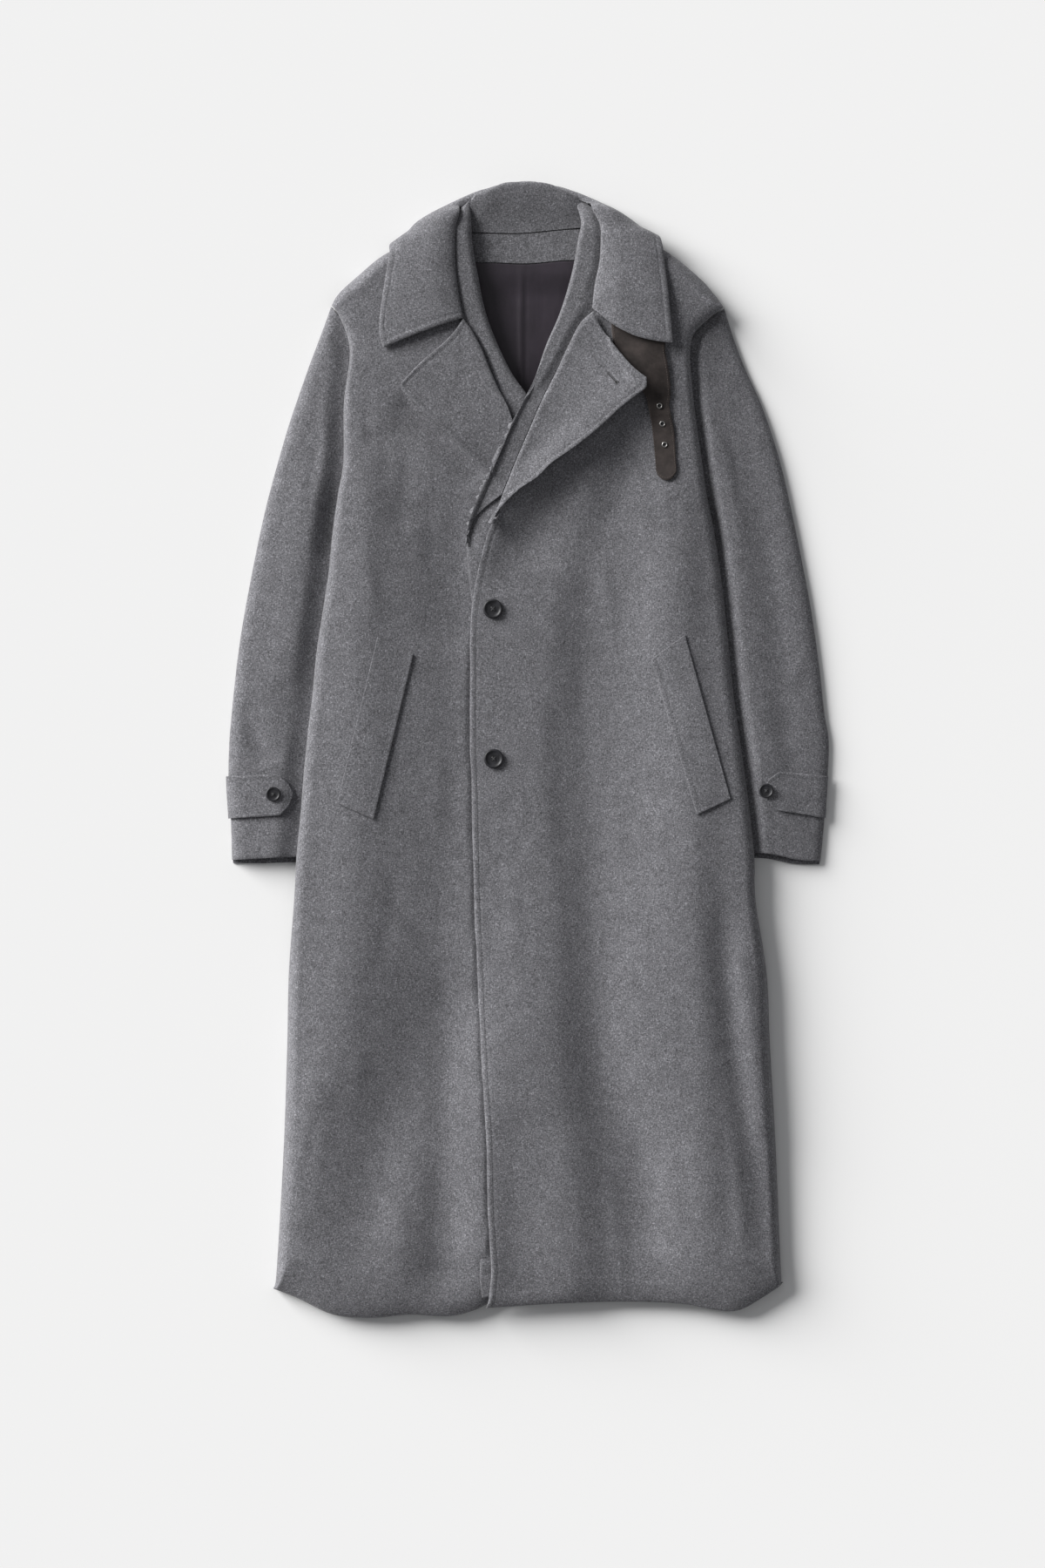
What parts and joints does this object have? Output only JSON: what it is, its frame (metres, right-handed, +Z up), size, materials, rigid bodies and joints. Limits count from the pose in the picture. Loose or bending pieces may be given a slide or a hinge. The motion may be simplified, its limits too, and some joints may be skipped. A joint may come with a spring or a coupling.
{
  "type": "wool coat",
  "caption": "Long wool coat laid flat on its back, with wide lapels, a broad collar, slanted welt pockets, button cuff straps and a leather chest strap.",
  "frame": {"origin": "middle of the coat's outline seen from above, on the surface it lies on", "axes": "+Z up out of the coat's front, +Y towards the collar, +X towards the wearer's left"},
  "size_m": [0.6956, 1.306, 0.0445],
  "materials": {
    "wool": "brushed flannel",
    "lining": "smooth twill",
    "leather": "soft matt",
    "button": "soft polish",
    "eyelet": "dull"
  },
  "bodies": {
    "root": {"back": "wool", "front_right": "wool", "front_left": "wool", "sleeve_top_right": "wool", "sleeve_top_left": "wool", "sleeve_under_right": "wool", "sleeve_under_left": "wool", "lapel_right": "wool", "lapel_left": "wool", "inner_front_right": "wool", "inner_lapel_left": "wool", "inner_front_left": "wool", "collar": "wool", "inner_collar": "wool", "neck_facing": "wool", "lining": "lining", "chest_strap": "leather", "eyelet_1": "eyelet", "eyelet_2": "eyelet", "eyelet_3": "eyelet", "pocket_welt_right": "wool", "pocket_welt_left": "wool", "cuff_strap_right": "wool", "cuff_strap_left": "wool", "front_button_1": "button", "front_button_2": "button", "cuff_button_right": "button", "cuff_button_left": "button"}
  },
  "joints": []
}
